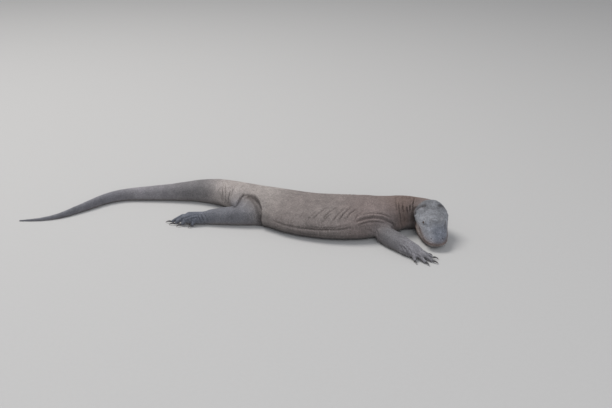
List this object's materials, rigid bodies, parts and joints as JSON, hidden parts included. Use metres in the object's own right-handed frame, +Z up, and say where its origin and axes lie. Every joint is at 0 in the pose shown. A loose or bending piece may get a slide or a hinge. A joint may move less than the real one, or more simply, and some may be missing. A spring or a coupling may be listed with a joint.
{
  "type": "komodo dragon",
  "caption": "Still life-size Komodo dragon lying on its belly, neck bent to its right, hind leg stretched back, tail laid out behind.",
  "frame": {"origin": "on the floor, on the flat of the belly under the middle of the trunk", "axes": "+X runs from the tail towards the shoulders, +Z up, and the animal's right side with the turned head faces -Y"},
  "size_m": [2.0298, 0.9654, 0.169],
  "materials": {
    "body_hide": "dry, dusty, beaded scales, matte",
    "limb_hide": "dry, dusty, grey beaded scales, matte",
    "head_hide": "dry, blue-grey plates with brown lips, matte",
    "claw_horn": "dark horn, worn satin",
    "eye": "wet, dark brown"
  },
  "bodies": {
    "root": {"belly": "body_hide", "chest": "body_hide", "eye_left": "eye", "eye_right": "eye", "foot_left": "limb_hide", "foot_left_claw_1": "claw_horn", "foot_left_claw_2": "claw_horn", "foot_left_claw_3": "claw_horn", "foot_left_claw_4": "claw_horn", "foot_left_claw_5": "claw_horn", "foot_right": "limb_hide", "foot_right_claw_1": "claw_horn", "foot_right_claw_2": "claw_horn", "foot_right_claw_3": "claw_horn", "foot_right_claw_4": "claw_horn", "foot_right_claw_5": "claw_horn", "forearm_left": "limb_hide", "forearm_right": "limb_hide", "hand_left": "limb_hide", "hand_left_claw_1": "claw_horn", "hand_left_claw_2": "claw_horn", "hand_left_claw_3": "claw_horn", "hand_left_claw_4": "claw_horn", "hand_left_claw_5": "claw_horn", "hand_right": "limb_hide", "hand_right_claw_1": "claw_horn", "hand_right_claw_2": "claw_horn", "hand_right_claw_3": "claw_horn", "hand_right_claw_4": "claw_horn", "hand_right_claw_5": "claw_horn", "head": "head_hide", "lower_jaw": "head_hide", "neck": "body_hide", "pelvis": "body_hide", "shin_left": "limb_hide", "shin_right": "limb_hide", "tail_base": "body_hide", "tail_end": "body_hide", "tail_front": "body_hide", "tail_middle": "body_hide", "tail_tip": "body_hide", "thigh_left": "body_hide", "thigh_right": "body_hide", "upper_arm_left": "body_hide", "upper_arm_right": "body_hide"}
  },
  "joints": []
}
